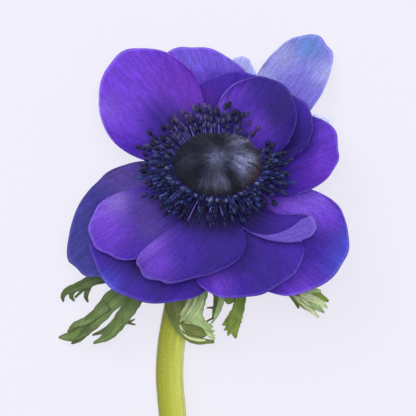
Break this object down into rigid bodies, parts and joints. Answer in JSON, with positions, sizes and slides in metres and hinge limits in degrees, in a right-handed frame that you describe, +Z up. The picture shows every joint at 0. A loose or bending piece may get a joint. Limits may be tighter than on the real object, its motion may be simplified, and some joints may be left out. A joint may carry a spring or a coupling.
{
  "type": "anemone flower",
  "caption": "Cut anemone bloom lying on its side: layered cupped petals round a dark boss ringed with stamens, three cut bracts and a bare curved stem.",
  "frame": {"origin": "middle of the flower's footprint, on the surface that it lies on", "axes": "+Z up; +Y from the stem's cut end towards the bloom; +X to the right of someone looking down on it with the stem towards them"},
  "size_m": [0.0802, 0.1646, 0.0449],
  "materials": {
    "petal": "soft violet-blue petal with a silky sheen and fine veins",
    "pale_petal": "pale lavender-blue petal, silky",
    "boss": "matt near-black, downy",
    "stamen": "matt dark blue-black",
    "stem": "yellow-green, faintly downy",
    "bract": "mid green leaf, paler beneath"
  },
  "bodies": {
    "root": {"pistil_boss": "boss", "stamens": "stamen", "stem": "stem", "petal_front_lower": "petal", "petal_front_upper": "petal", "petal_left": "petal", "petal_folded": "petal", "petal_right_shaded": "petal", "petal_upper_left": "petal", "petal_lower_right": "petal", "petal_right": "petal", "petal_lower_left": "petal", "petal_top_shaded": "petal", "petal_far_left": "petal", "petal_top": "petal", "petal_far_right": "petal", "petal_back_pale": "pale_petal", "petal_back_top": "pale_petal", "petal_back_right": "pale_petal", "petal_back_left": "petal", "bract_left": "bract", "bract_front": "bract", "bract_right": "bract"}
  },
  "joints": []
}
